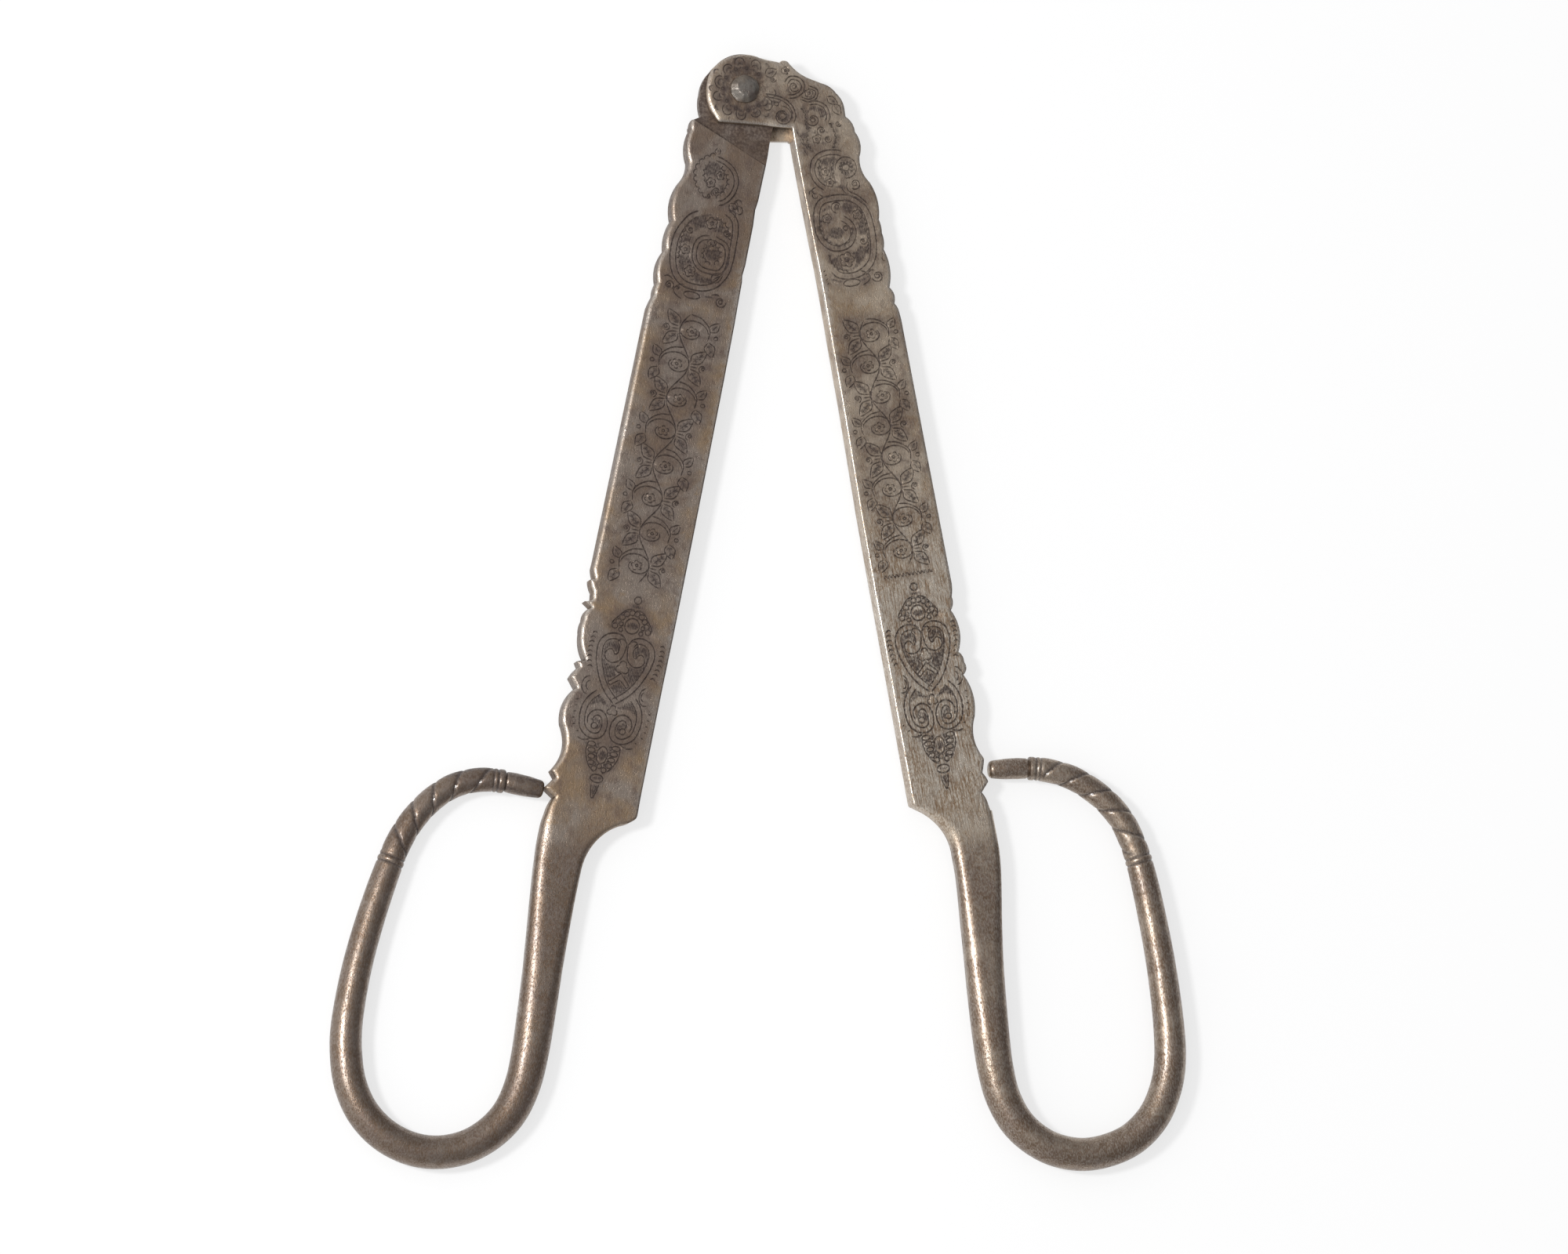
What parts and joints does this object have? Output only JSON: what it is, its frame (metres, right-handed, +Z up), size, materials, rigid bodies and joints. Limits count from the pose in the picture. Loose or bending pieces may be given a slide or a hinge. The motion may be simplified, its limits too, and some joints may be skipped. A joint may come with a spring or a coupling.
{
  "type": "sugar nips",
  "caption": "Flat steel arms with scalloped outer edges, hinged on a rivet and ending in open finger loops, for nipping lumps off a sugar loaf.",
  "frame": {"origin": "on the hinge axis, in the plane of the table that the tool lies on, which is the plane of the rivet's flat rear end", "axes": "+Z up from the table along the hinge axis, towards the rivet's domed head; +Y from the finger loops towards the hinge, along the bisector of the resting blades to within a degree; +X towards the arm that carries the fork"},
  "size_m": [0.1995, 0.2589, 0.0084],
  "materials": {
    "left_steel": "old forged steel with a grey-brown patina",
    "right_steel": "old forged steel with a grey-brown patina, brighter on the lower blade",
    "rivet_steel": "hammered, dark grey"
  },
  "bodies": {
    "fork_body": {"right_arm": "right_steel", "hinge_rivet": "rivet_steel"},
    "tongue_body": {"left_arm": "left_steel"}
  },
  "joints": [
    {"name": "nips_hinge", "type": "hinge", "parent": "fork_body", "child": "tongue_body", "pos_m": [0, 0, 0], "axis": [0, 0, 1], "range_deg": [-110, 21.3]}
  ]
}
